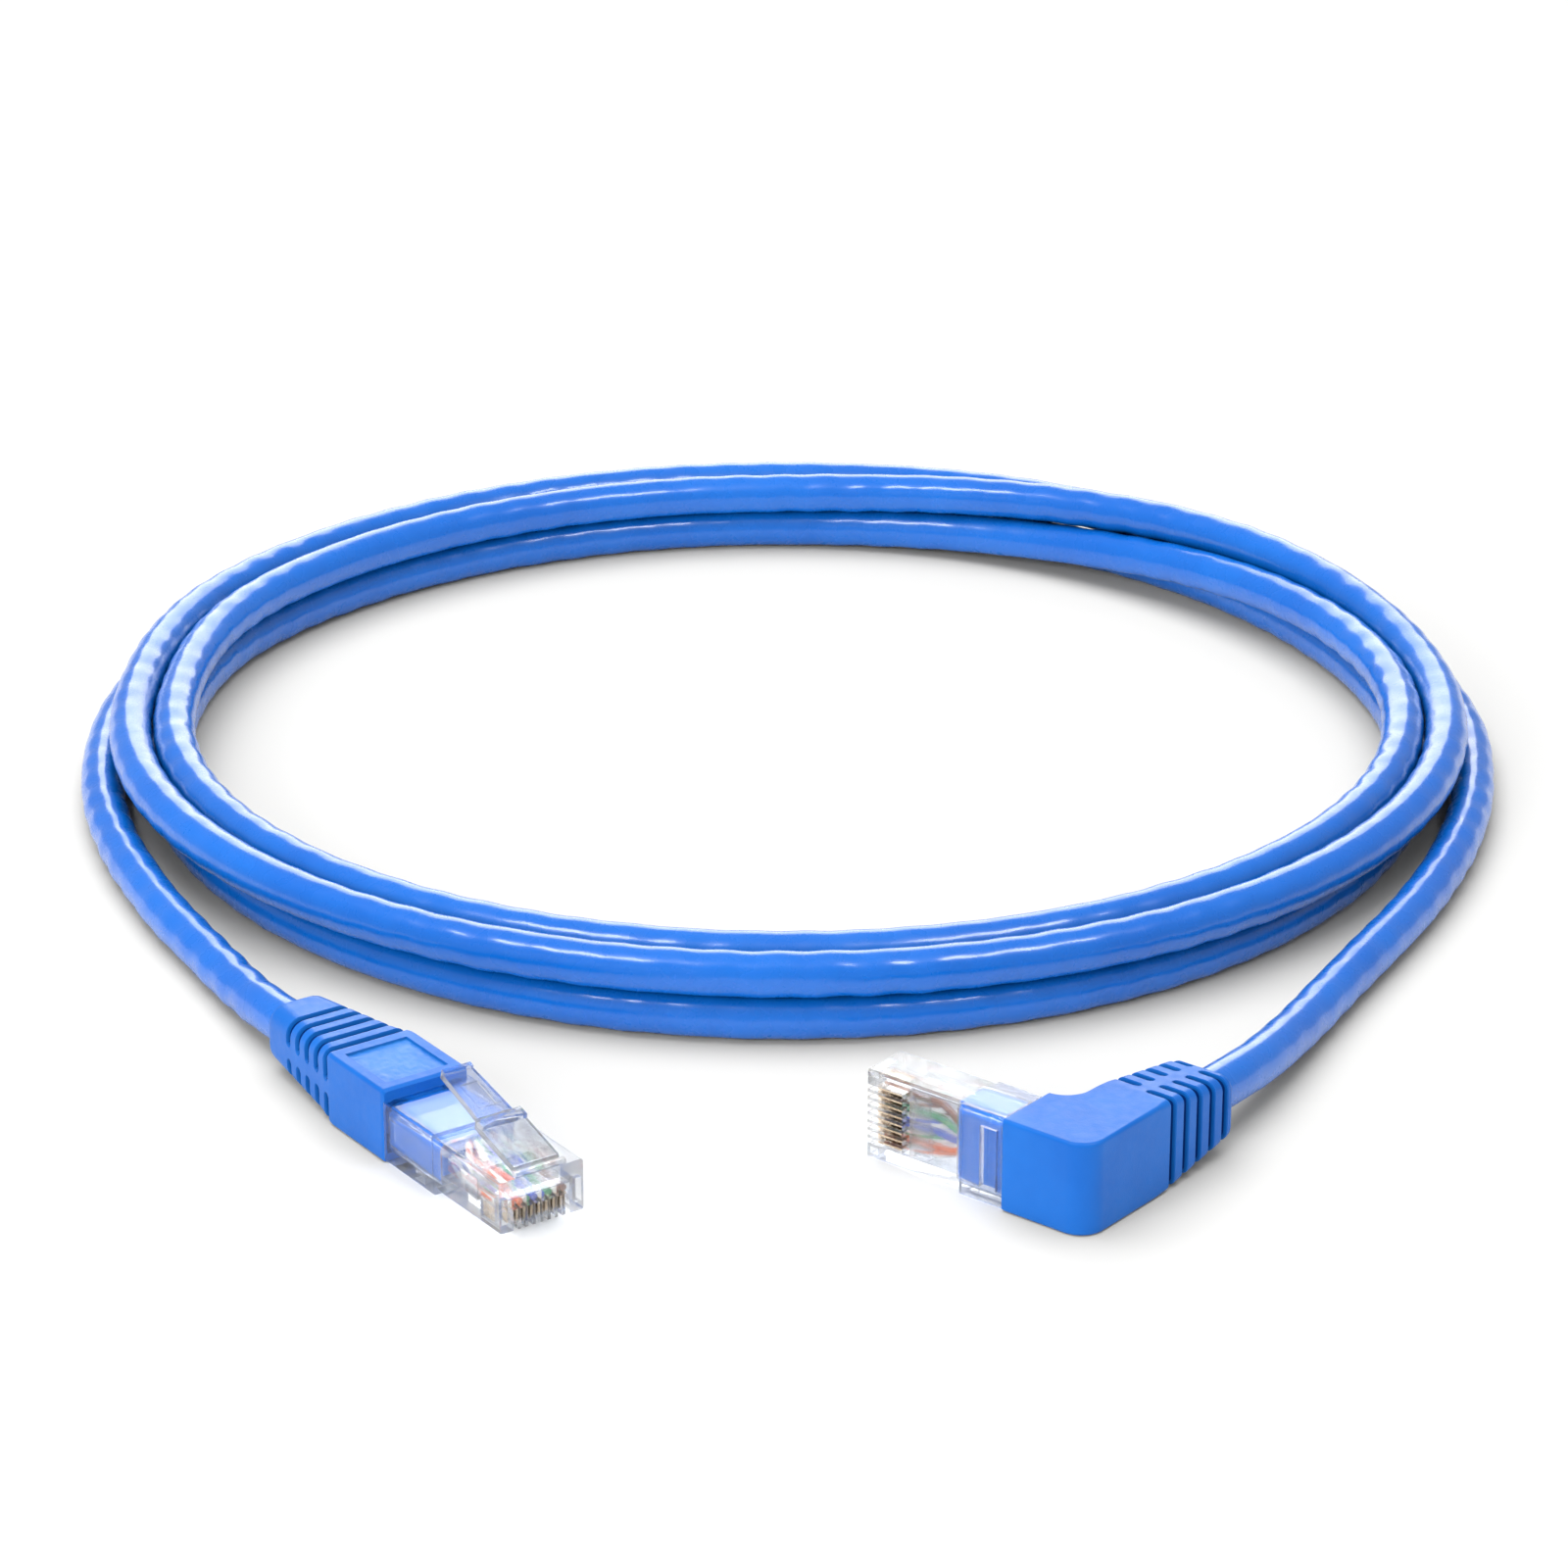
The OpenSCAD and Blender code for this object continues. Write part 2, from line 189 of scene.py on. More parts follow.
# The middles of the two tails, from their boots to the coil
STRAIGHT_ROUTE = [
    [-59.6, 29.3, 4.0], [-62.8, 35.4, 3.3], [-66.2, 42.1, 2.95], [-70, 49.6, 2.95],
    [-75.5, 60.1, 2.95], [-80.5, 71.6, 2.95], [-85, 83.6, 2.95], [-88.5, 96.1, 2.95],
    [-90.5, 107.1, 2.95]]
ANGLED_ROUTE = [
    [59, 6, 5.6], [62.5, 11.8, 4.8], [66.2, 19.1, 4.0], [69.6, 26.4, 3.3],
    [73, 33.7, 2.95], [79.4, 46.4, 2.95], [85.5, 58.1, 2.95], [91, 70.1, 2.95],
    [95.5, 82.3, 2.95], [99, 94.6, 2.95], [101.2, 106.9, 2.95]]
# The four places in the bundle, as radius and height, in the order that the cable takes them
PLACES = [(94.3, 2.95), (88.2, 2.95), (86.9, 8.95), (93.0, 8.95)]
# Once a turn, over these angles, every run moves on to the next place, round the bundle's middle
ROLL_FROM = 86
ROLL_TO = 180
ROLL_MID = (90.6, 5.95)
ROLL_R = 4.27
TURNS = 3.5
# The runs that lead to the tails stand a little outside the others, over these angles
TAIL_OUT = 2.7
TAIL_IN_OVER = 35
TAIL_LEAVES_AT = 140
TAIL_LEAVES_OVER = 40
# At the front, where three runs are left, the low one lies further out under the other two
FRONT_SPREAD = 4.3
# On the back left all runs lie further out: fully by the first angle, and fading after the second
BACK_OUT = 2.8
BACK_OUT_BY = 30
BACK_OUT_TO = 75
BACK_OUT_FADE = 75
STEP_DEG = 5
CABLE_STEP = 0.001
CABLE_EASE = 24
CABLE_SIDES = 28


def rolled(first, second, share):
    """A run's place on its way round the middle of the bundle."""
    x0, z0 = first[0] - ROLL_MID[0], first[1] - ROLL_MID[1]
    x1, z1 = second[0] - ROLL_MID[0], second[1] - ROLL_MID[1]
    start = math.atan2(z0, x0)
    end = math.atan2(z1, x1)
    if end > start:
        end -= 2 * math.pi
    middle = math.sin(math.pi * share) ** 2
    reach = lerp(lerp(math.hypot(x0, z0), math.hypot(x1, z1), share), ROLL_R, middle)
    angle = lerp(start, end, share)
    return ROLL_MID[0] + reach * math.cos(angle), ROLL_MID[1] + reach * math.sin(angle)


def bundle(share):
    """The four runs at this share of the roll, lifted together so that the lowest lies on the table."""
    nexts = PLACES[1:] + PLACES[:1]
    runs = [rolled(place, following, share) for place, following in zip(PLACES, nexts)]
    lift = PLACES[0][1] - min(height for _, height in runs)
    return [(radius, height + lift) for radius, height in runs]


def coil_point(degrees):
    """The cable's middle on the coil, counted clockwise from the left side."""
    turn = int(degrees // 360)
    at = degrees - 360 * turn
    radius, height = bundle(smooth((at - ROLL_FROM) / (ROLL_TO - ROLL_FROM)))[turn]
    radius += BACK_OUT * smooth(at / BACK_OUT_BY) * (1 - smooth((at - BACK_OUT_TO) / BACK_OUT_FADE))
    if turn == 0:
        radius += TAIL_OUT * (1 - smooth(at / TAIL_IN_OVER))
    if turn == 0 and at > 180:
        radius += FRONT_SPREAD * math.sin(math.radians(at - 180)) ** 2
    if turn == 3:
        radius += TAIL_OUT * smooth((at - TAIL_LEAVES_AT) / TAIL_LEAVES_OVER)
    angle = math.radians(degrees)
    return [COIL_CENTRE[0] - radius * math.cos(angle), COIL_CENTRE[1] + radius * math.sin(angle), height]


turns = [coil_point(d) for d in range(0, int(TURNS * 360) + 1, STEP_DEG)]
route = [STRAIGHT_EXIT] + STRAIGHT_ROUTE + turns + ANGLED_ROUTE[::-1] + [ANGLED_EXIT]
cable_line = eased(curve_through(np.array(route) * MM, CABLE_STEP), CABLE_EASE)
cable_length = float(np.linalg.norm(np.diff(cable_line, axis=0), axis=1).sum())

# The jacket's lumps: heights in millimetres, lengths along the cable in metres
SINGLE_HIGH = 0.070
SINGLE_LONG = 0.0071
DOUBLE_HIGH = 0.040
DOUBLE_LONG = 0.0062
RING_HIGH = 0.030
RING_LONG = 0.0187
SMOOTH_END = 0.012
# Two long waves along the cable, in radians a metre, and how much of the lumps they take away
LONG_WAVES = (71, 43.7)
WAVE_SHARE = 0.35


def jacket_radius(along, angle):
    """The jacket shows its twisted pairs as soft lumps that wind along it and come and go."""
    ends = np.minimum(along, cable_length - along)
    fade = np.clip(ends / SMOOTH_END, 0, 1)
    waves = np.sin(along * LONG_WAVES[0]) * np.sin(along * LONG_WAVES[1] + 1.3)
    slow = (1 - WAVE_SHARE) + WAVE_SHARE * waves
    lumps = SINGLE_HIGH * np.cos(angle - along * 2 * math.pi / SINGLE_LONG)
    lumps = lumps + DOUBLE_HIGH * np.cos(2 * angle + along * 2 * math.pi / DOUBLE_LONG + 0.7)
    lumps = lumps + RING_HIGH * np.sin(along * 2 * math.pi / RING_LONG + np.sin(angle))
    return CABLE_R + MM * fade * slow * lumps


cable = tube_piece("cable_jacket", cable_line, CABLE_SIDES, jacket_radius)
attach(cable, BODY)
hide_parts("coil_jacket", "straight_tail_jacket", "angled_tail_jacket")

# ---- Frames of the two connectors ----


def local_frame(nose, heading, on_side):
    """Nose at x = 0, cable towards +x, contacts at z = 0, in millimetres."""
    turn = Matrix.Rotation(heading, 4, "Z")
    if on_side:
        turn = turn @ Matrix.Rotation(-math.pi / 2, 4, "X")
    return Matrix.Scale(MM, 4) @ Matrix.Translation(nose) @ turn


AT = {
    "straight": local_frame(STRAIGHT_NOSE, STRAIGHT_HEADING, False),
    "angled": local_frame(ANGLED_NOSE, ANGLED_HEADING, True)}


def placed(end, points):
    """Points of a connector's own frame, as places in the scene."""
    return [AT[end] @ Vector(p) for p in points]


# ---- Boots ----

BOOT_LOW = -1.15
BOOT_W = 12.0
BOOT_H = 9.6
BOOT_MID = BOOT_LOW + BOOT_H / 2
EDGE_R = 0.5
FRONT_ROUND = 0.25
BACK_ROUND = 1.1
RING_STEP = 0.35
SHARP = 42
FLAT = 0.999
# Where the sections' corners start to soften, past the block's end, to what radius, and its growth
STRAIGHT_SOFT = (-1, 1.6, 0.9)
ANGLED_SOFT = (-3, 0.9, 0.8)
SOFT_OVER = 4
# Points across a section, up it and round each of its corners
STRAIGHT_POINTS = (40, 52, 8)
ANGLED_POINTS = (64, 26, 7)
# The grooves: GROOVE_GAP is from the end of the plain block to the first one
GROOVES = 5
GROOVE_STEP = 2.7
GROOVE_GAP = 0.4
GROOVE_HALF = 0.5
GROOVE_DEEP = 1.0
WALL = 0.14
# The bore for the cable, a little wider at its mouth, and the pocket for the plug's neck
BORE_R = 3.0
LIP = 1.08
LIP_DEEP = 0.25
POCKET_HALF = (5.05, 3.25)
POCKET_LEN = 2.55
# The straight boot: its plain block, its narrow end and the spine between its grooves
BLOCK_LEN = 12.8
END_HALF_W = 4.2
END_HALF_H = 3.8
SPINE_HALF = 0.95
# The panel on its block: start, end and half width, depth and mottling; deeper than PANEL_FLOOR
# is its floor, which IN_PANEL marks among the groove depths
PANEL = (1.9, 11.4, 4.3)
PANEL_DEEP = 0.32
MOTTLE = 0.08
MOTTLE_SCALE = 2.4
PANEL_FLOOR = 0.2
# The faces that IN_PANEL marks take a lighter blue, a painted sheen
IN_PANEL = -1
# Extra rings and points at a step, and at each wall of a groove, from its middle
STEP_OFFSETS = (-0.12, -0.07, -0.03, 0.03, 0.07, 0.12)
WALL_OFFSETS = (0, 0.2, 0.34, 0.42, 0.5, 0.58, 0.66)


def cut(distance):
    """How deep a groove is at this distance from its edge; inside is below zero."""
    return GROOVE_DEEP * (1 - smooth((distance + WALL) / (2 * WALL)))


def evenly(count, extra=()):
    """Even shares from 0 to 1, with more of them where the detail is."""
    return sorted([(k + 0.5) / count for k in range(count)] + list(extra))


def rounded(half_u, half_v, radius, across, up, corner):
    """Points and normals round a rectangle with round corners, from its low-u, low-v corner on."""
    loop = []
    sides = [
        ((-1, -1), (1, 0), half_u - radius, across, (0, -1)),
        ((1, -1), (0, 1), half_v - radius, up, (1, 0)),
        ((1, 1), (-1, 0), half_u - radius, across, (0, 1)),
        ((-1, 1), (0, -1), half_v - radius, up, (-1, 0))]
    for (su, sv), (du, dv), half, shares, (nu, nv) in sides:
        cu, cv = su * (half_u - radius), sv * (half_v - radius)
        for share in shares:
            t = 2 * half * share
            loop.append((cu + du * t + nu * radius, cv + dv * t + nv * radius, nu, nv))
        eu, ev = cu + du * 2 * half, cv + dv * 2 * half
        start = math.atan2(nv, nu)
        for k in range(corner + 1):
            a = start + math.pi / 2 * k / corner
            loop.append((eu + radius * math.cos(a), ev + radius * math.sin(a), math.cos(a), math.sin(a)))
    return loop


def spacing(start, end, step, centres, steps=()):
    """Places of the rings along a boot: even, and closer at each groove's walls and each step."""
    places = set(np.round(np.linspace(start, end, int((end - start) / step) + 1), 3))
    for edge in steps:
        places.update(round(edge + off, 3) for off in STEP_OFFSETS)
    for c in centres:
        for off in WALL_OFFSETS:
            places.add(round(c + off, 3))
            places.add(round(c - off, 3))
    return sorted(p for p in places if start <= p <= end)


def on_rectangle(u, v, half_u, half_v):
    """The point of a rectangle's edge in the direction of (u, v)."""
    scale = min(half_u / max(abs(u), 1e-9), half_v / max(abs(v), 1e-9))
    return u * scale, v * scale


def edge_round(distance, radius):
    """How far a face stands in at this distance from a rounded end edge."""
    if distance >= radius:
        return 0.0
    return radius - math.sqrt(radius ** 2 - (radius - max(distance, 0)) ** 2)


def shade_faces(piece, depths):
    """Faces low in a groove take the second material slot, a darker blue that is painted shade, and the
    panel's floor the third, a lighter blue that is a painted sheen.
    """
    for face in piece.data.polygons:
        deep = [depths[i] for i in face.vertices if i < len(depths)]
        if len(deep) == len(face.vertices):
            if sum(deep) / len(deep) > GROOVE_DEEP / 2:
                face.material_index = 1
            if max(deep) == IN_PANEL:
                face.material_index = 2


def section_radius(past_block, share, soft):
    """The round of a section's corners: crisp on the block, softer behind it."""
    start, radius, growth = soft
    return lerp(EDGE_R, radius, smooth((past_block - start) / SOFT_OVER)) + growth * share


def groove_centres(block_end):
    """The middles of the grooves, counted along the boot."""
    return [block_end + GROOVE_GAP + GROOVE_HALF + i * GROOVE_STEP for i in range(GROOVES)]


def boot_piece(end, rings):
    """One closed skin through the rings: along the outside, and back through the bore and pocket."""
    points = [p for ring in rings for p in ring]
    faces = ring_faces(len(rings), len(rings[0]), closed=True)
    return mesh_piece(end + "_boot_skin", placed(end, points), faces, SHARP)


def panel_depth(x, y):
    """The shallow, finely mottled panel on the block of the straight boot."""
    mid = (PANEL[0] + PANEL[1]) / 2
    inside_x = abs(x - mid) - (PANEL[1] - PANEL[0]) / 2
    inside_y = abs(y) - PANEL[2]
    edge = 1 - smooth((max(inside_x, inside_y) + WALL / 2) / WALL)
    mottle = MOTTLE * noise.noise(Vector((x * MOTTLE_SCALE, y * MOTTLE_SCALE, 3.7)))
    return edge * (PANEL_DEEP + mottle)


def straight_boot():
    """The boot's skin, and how deep each of its outer points is in a groove."""
    x0 = STRAIGHT_REACH
    block_end = x0 + BLOCK_LEN
    x1 = x0 + BOOT_LEN
    centres = groove_centres(block_end)
    rings = []
    depths = []
    flat = BOOT_W / 2 - EDGE_R
    panel_sides = [0.5 + side * (PANEL[2] + off) / (2 * flat) for side in (-1, 1) for off in STEP_OFFSETS]
    across = evenly(STRAIGHT_POINTS[0], panel_sides)
    up = evenly(STRAIGHT_POINTS[1])
    for x in spacing(x0, x1, RING_STEP, centres, (x0 + PANEL[0], x0 + PANEL[1])):
        share = min(max((x - block_end) / (x1 - block_end), 0), 1)
        inset = edge_round(x - x0, FRONT_ROUND) + edge_round(x1 - x, BACK_ROUND)
        half_w = lerp(BOOT_W / 2, END_HALF_W, share) - inset
        half_h = lerp(BOOT_H / 2, END_HALF_H, share) - inset
        radius = section_radius(x - block_end, share, STRAIGHT_SOFT)
        ring = []
        for y, z, ny, nz in rounded(half_w, half_h, radius, across, up, STRAIGHT_POINTS[2]):
            flat_side = abs(ny) > FLAT
            end_gap = max(0.0, SPINE_HALF + GROOVE_HALF - abs(z)) if flat_side else 0.0
            depth = max(cut(math.hypot(x - c, end_gap) - GROOVE_HALF) for c in centres)
            sunk = panel_depth(x - x0, y) if nz > FLAT else 0.0
            depths.append(IN_PANEL if sunk > PANEL_FLOOR else depth)
            depth = max(depth, sunk)
            ring.append((x, y - ny * depth, BOOT_MID + z - nz * depth))
        rings.append(ring)
    angles = [math.atan2(p[2] - AXIS_Z, p[1]) for p in rings[-1]]
    hole = [(BORE_R * math.cos(a), AXIS_Z + BORE_R * math.sin(a)) for a in angles]
    lip = [(LIP * y, AXIS_Z + LIP * (z - AXIS_Z)) for y, z in hole]
    pocket = [on_rectangle(math.cos(a), math.sin(a), *POCKET_HALF) for a in angles]
    rings.append([(x1, y, z) for y, z in lip])
    rings.append([(x1 - LIP_DEEP, y, z) for y, z in hole])
    rings.append([(x0 + POCKET_LEN, y, z) for y, z in hole])
    rings.append([(x0 + POCKET_LEN, u, AXIS_Z + v) for u, v in pocket])
    rings.append([(x0, u, AXIS_Z + v) for u, v in pocket])
    return boot_piece("straight", rings), depths


# The right-angle boot: its arm, the rounds of its corner, and how far its grooves reach in
ARM_W = 9.4
ARM_INNER = ARM_MID - ARM_W / 2
ARM_OUTER = ARM_MID + ARM_W / 2
ARM_BLOCK_END = 15.2
ARM_TAIL_V = 8.2
CORNER_R = 3.2
FILLET_R = 3.4
SLOT_OUTER_END = 29.5
SLOT_INNER_END = 27.7
SLOT_STAGGER = 0.9
CABLE_BEND = 4.5
CORNER_RINGS = 84
FIRST_RING = 0.1
INNER_EASE = 0.35
BEND_RINGS = 7


def corner_sections():
    """Inner and outer ends of the sections round the corner, their distances, and the last distance."""
    x0 = ANGLED_REACH
    top = BOOT_LOW + BOOT_H
    pivot = (ARM_INNER - FILLET_R, top + FILLET_R)
    start = math.asin((x0 - pivot[0]) / FILLET_R)
    sections = []
    corner_centre = (ARM_OUTER - CORNER_R, BOOT_LOW + CORNER_R)
    first = corner_centre[0] - x0
    arc = CORNER_R * math.pi / 2
    last = pivot[1] - corner_centre[1]
    total = first + arc + last
    for i in range(CORNER_RINGS):
        s = FIRST_RING if i == 1 else total * i / CORNER_RINGS
        if s < first:
            outer = (x0 + s, BOOT_LOW)
        elif s < first + arc:
            a = (s - first) / CORNER_R
            outer = (corner_centre[0] + CORNER_R * math.sin(a), corner_centre[1] - CORNER_R * math.cos(a))
        else:
            outer = (ARM_OUTER, corner_centre[1] + s - first - arc)
        share = smooth(s / total) * INNER_EASE + (1 - INNER_EASE) * s / total
        a = lerp(start, math.pi / 2, share)
        inner = (pivot[0] + FILLET_R * math.sin(a), pivot[1] - FILLET_R * math.cos(a))
        sections.append((inner, outer, s))
    return sections, total


def angled_bore(angles):
    """The rings of the right-angle boot's inside, from the cable's end round the corner to the plug."""
    x0 = ANGLED_REACH
    hole = [(BORE_R * math.cos(a), BORE_R * math.sin(a)) for a in angles]
    rings = [
        [(ARM_MID + LIP * u, LIP * v, ARM_END) for u, v in hole],
        [(ARM_MID + u, v, ARM_END - LIP_DEEP) for u, v in hole]]
    for k in range(BEND_RINGS):
        a = math.pi / 2 * k / (BEND_RINGS - 1)
        cx = ARM_MID - CABLE_BEND + CABLE_BEND * math.cos(a)
        cz = AXIS_Z + CABLE_BEND - CABLE_BEND * math.sin(a)
        rings.append([(cx + u * math.cos(a), v, cz - u * math.sin(a)) for u, v in hole])
    rings.append([(x0 + POCKET_LEN, v, AXIS_Z - u) for u, v in hole])
    half_v, half_u = POCKET_HALF
    pocket = [on_rectangle(math.cos(a), math.sin(a), half_u, half_v) for a in angles]
    rings.append([(x0 + POCKET_LEN, v, AXIS_Z - u) for u, v in pocket])
    rings.append([(x0, v, AXIS_Z - u) for u, v in pocket])
    return rings


def angled_boot():
    """The boot's skin, and how deep each of its outer points is in a groove."""
    sections, total = corner_sections()
    outer_slots = groove_centres(ARM_BLOCK_END)
    inner_slots = [c + SLOT_STAGGER for c in outer_slots]
    across = evenly(ANGLED_POINTS[0])
    up = evenly(ANGLED_POINTS[1])
    for z in spacing(BOOT_LOW + BOOT_H + FILLET_R, ARM_END, RING_STEP, outer_slots + inner_slots):
        sections.append(((ARM_INNER, z), (ARM_OUTER, z), total + z))
    rings = []
    depths = []
    for (ix, iz), (ox, oz), s in sections:
        arm = oz if ix == ARM_INNER else 0
        share = min(max((arm - ARM_BLOCK_END) / (ARM_END - ARM_BLOCK_END), 0), 1)
        half_v = lerp(BOOT_W / 2, ARM_TAIL_V / 2, share)
        inset = edge_round(s, FRONT_ROUND)
        if arm:
            inset += edge_round(ARM_END - arm, BACK_ROUND)
        mid_x, mid_z = (ix + ox) / 2, (iz + oz) / 2
        length = math.hypot(ox - ix, oz - iz)
        ux, uz = (ox - ix) / length, (oz - iz) / length
        radius = section_radius(arm - ARM_BLOCK_END, share, ANGLED_SOFT)
        outline = rounded(length / 2 - inset, half_v - inset, radius, across, up, ANGLED_POINTS[2])
        ring = []
        for u, v, nu, nv in outline:
            depth = 0.0
            if arm:
                x = mid_x + u
                outer_gap = max(0.0, SLOT_OUTER_END + GROOVE_HALF - x)
                inner_gap = max(0.0, x - SLOT_INNER_END + GROOVE_HALF)
                depth = max(
                    max(cut(math.hypot(arm - c, outer_gap) - GROOVE_HALF) for c in outer_slots),
                    max(cut(math.hypot(arm - c, inner_gap) - GROOVE_HALF) for c in inner_slots))
            depths.append(depth)
            u -= nu * depth
            v -= nv * depth
            ring.append((mid_x + ux * u, v, mid_z + uz * u))
        rings.append(ring)
    rings.extend(angled_bore([math.atan2(p[1], p[0] - ARM_MID) for p in rings[-1]]))
    return boot_piece("angled", rings), depths


boots = {}
for end, (boot, depths) in (("straight", straight_boot()), ("angled", angled_boot())):
    boots[end] = boot
    shade_faces(boot, depths)
    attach(boot, BODY)
    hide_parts(end + "_boot")

# ---- Wires ----

# Eight wires, side by side in the guide and in four pairs where they enter the jacket
PITCH = 1.02
WIRE_R = 0.46
WIRE_STEP = 0.0003
WIRE_EASE = 3
WIRE_SIDES = 12
WIRE_Z = 3.1
WIRE_FRONT = 1.4
WIRES_BEND = 9.4
JACKET_FRONT = 13.4
# The four pairs in the jacket: the outermost pair's place, the step between pairs, half a pair's height
OUTER_PAIR = 1.5
BUNDLE_STEP = 1.1
BUNDLE_RISE = 0.55
BUNDLE_START = 0.5
GATHERED = 0.4
WIRES = ["white_orange", "orange", "white_green", "blue", "white_blue", "green", "white_brown", "brown"]


def wire_route(pin):
    """A wire's way from its blade to the jacket, in its connector's own frame."""
    y = ((len(WIRES) + 1) / 2 - pin) * PITCH
    bundle_y = (OUTER_PAIR - (pin - 1) // 2) * BUNDLE_STEP
    bundle_z = AXIS_Z + (-BUNDLE_RISE if pin % 2 == 0 else BUNDLE_RISE)
    return [
        (WIRE_FRONT, y, WIRE_Z), (WIRES_BEND, y, WIRE_Z),
        ((WIRES_BEND + JACKET_FRONT) / 2, lerp(y, bundle_y, GATHERED), bundle_z),
        (JACKET_FRONT - BUNDLE_START, bundle_y, bundle_z), (JACKET_FRONT, bundle_y, bundle_z)]


def wire_radius(along, angle):
    """The same all along the wire and all round it."""
    return np.full(np.broadcast(along, angle).shape, WIRE_R * MM)


wires = {}
for end in AT:
    for pin in range(1, len(WIRES) + 1):
        line = eased(resampled(placed(end, wire_route(pin)), WIRE_STEP), WIRE_EASE)
        wire = tube_piece(f"{end}_wire_{pin}_skin", line, WIRE_SIDES, wire_radius)
        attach(wire, BODY)
        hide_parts(f"{end}_wire_{pin}")
        wires[end, pin] = wire

# ---- Materials ----


def linear(r, g, b):
    """A screen colour as linear light."""
    parts = [v / 255 for v in (r, g, b)]
    return [v / 12.92 if v <= 0.04045 else ((v + 0.055) / 1.055) ** 2.4 for v in parts] + [1.0]


class Finish:
    """A node material with its Principled shader, and short ways to add to it."""

    def __init__(self, name, **sockets):
        self.material = bpy.data.materials.new(name)
        self.material.use_nodes = True
        self.tree = self.material.node_tree
        self.shader = self.tree.nodes["Principled BSDF"]
        for socket, value in sockets.items():
            self.shader.inputs[socket.replace("_", " ")].default_value = value
        self.place = self.node("ShaderNodeTexCoord").outputs["Object"]

    def node(self, kind, **settings):
        made = self.tree.nodes.new(kind)
        for key, value in settings.items():
            setattr(made, key, value)
        return made

    def link(self, output, target):
        self.tree.links.new(output, target)

    def noise(self, scale, detail=3):
        """Noise in the piece's own coordinates, with about scale patches to a metre."""
        made = self.node("ShaderNodeTexNoise")
        made.inputs["Scale"].default_value = scale
        made.inputs["Detail"].default_value = detail
        self.link(self.place, made.inputs["Vector"])
        return made.outputs["Fac"]

    def ramp(self, value, stops):
        """A colour for a value; stops are (value, colour), from the lowest up."""
        made = self.node("ShaderNodeValToRGB")
        points = made.color_ramp.elements
        while len(points) < len(stops):
            points.new(0.5)
        for point, (at, colour) in zip(points, stops):
            point.position = at
            point.color = colour
        self.link(value, made.inputs["Fac"])
        return made.outputs["Color"]

    def span(self, value, low, high, start=0.3, end=0.7):
        """Spreads a value between start and end over low to high."""
        made = self.node("ShaderNodeMapRange")
        for key, number in (("From Min", start), ("From Max", end), ("To Min", low), ("To Max", high)):
            made.inputs[key].default_value = number
        self.link(value, made.inputs["Value"])
        return made.outputs["Result"]

    def bump(self, *layers):
        """Layers are (height, strength, distance), the coarse ones first."""
        before = None
        for height, strength, distance in layers:
            made = self.node("ShaderNodeBump")
            made.inputs["Strength"].default_value = strength
            made.inputs["Distance"].default_value = distance
            self.link(height, made.inputs["Height"])
            if before is not None:
                self.link(before, made.inputs["Normal"])
            before = made.outputs["Normal"]
        self.link(before, self.shader.inputs["Normal"])

    def colour(self, output):
        self.link(output, self.shader.inputs["Base Color"])

    def neutral_bounce(self, grey):
        """Light that the surface throws on its surroundings is grey, not its own colour."""
        mix = self.node("ShaderNodeMix", data_type="RGBA")
        share, first, second = [socket for socket in mix.inputs if socket.enabled]
        own = self.shader.inputs["Base Color"].links[0].from_socket
        self.link(self.node("ShaderNodeLightPath").outputs["Is Diffuse Ray"], share)
        self.link(own, first)
        second.default_value = (grey, grey, grey, 1)
        self.colour([socket for socket in mix.outputs if socket.enabled][0])

    def roughness(self, output):
        self.link(output, self.shader.inputs["Roughness"])


# How light the grey is that the blue pieces throw on their surroundings
BOUNCE_GREY = 0.07


def jacket_finish():
    """Glossy blue PVC with a thin coat of shine."""
    f = Finish("jacket_blue", IOR=1.5, Coat_Weight=0.4, Coat_Roughness=0.08)
    f.colour(f.ramp(f.noise(55, 4), [(0.35, linear(2, 113, 226)), (0.65, linear(8, 122, 236))]))
    f.roughness(f.span(f.noise(420, 3), 0.22, 0.34))
    f.bump((f.noise(120, 0), 0.35, 0.0004), (f.noise(1400, 2), 0.02, 0.00004))
    f.neutral_bounce(BOUNCE_GREY)
    return f.material


def boot_finish(name, low, high, shine=0.32):
    """Moulded blue plastic with a fine grain, between two screen colours."""
    f = Finish(name, IOR=1.46, Specular_IOR_Level=shine)
    f.colour(f.ramp(f.noise(90, 4), [(0.35, linear(*low)), (0.65, linear(*high))]))
    f.roughness(f.span(f.noise(900, 3), 0.34, 0.46))
    f.bump((f.noise(700, 2), 0.12, 0.0001), (f.noise(4200, 3), 0.3, 0.00005))
    f.neutral_bounce(BOUNCE_GREY)
    return f.material


# What one wall of clear plastic lets through of a lamp's light
LAMP_SHARE = (0.8, 0.83, 0.87, 1)


def clear_finish(name, tint, roughness, alpha):
    """Clear plastic, which lets part of the lamps' light through to what is inside."""
    f = Finish(name, IOR=1.56, Specular_IOR_Level=0.3, Transmission_Weight=1.0, Base_Color=tint, Alpha=alpha)
    f.roughness(f.span(f.noise(300, 3), roughness * 0.6, roughness * 1.6))
    f.bump((f.noise(160, 2), 0.12, 0.0001))
    open_side = f.node("ShaderNodeBsdfTransparent")
    open_side.inputs["Color"].default_value = LAMP_SHARE
    mix = f.node("ShaderNodeMixShader")
    f.link(f.node("ShaderNodeLightPath").outputs["Is Shadow Ray"], mix.inputs[0])
    f.link(f.shader.outputs["BSDF"], mix.inputs[1])
    f.link(open_side.outputs["BSDF"], mix.inputs[2])
    f.link(mix.outputs["Shader"], f.tree.nodes["Material Output"].inputs["Surface"])
    return f.material


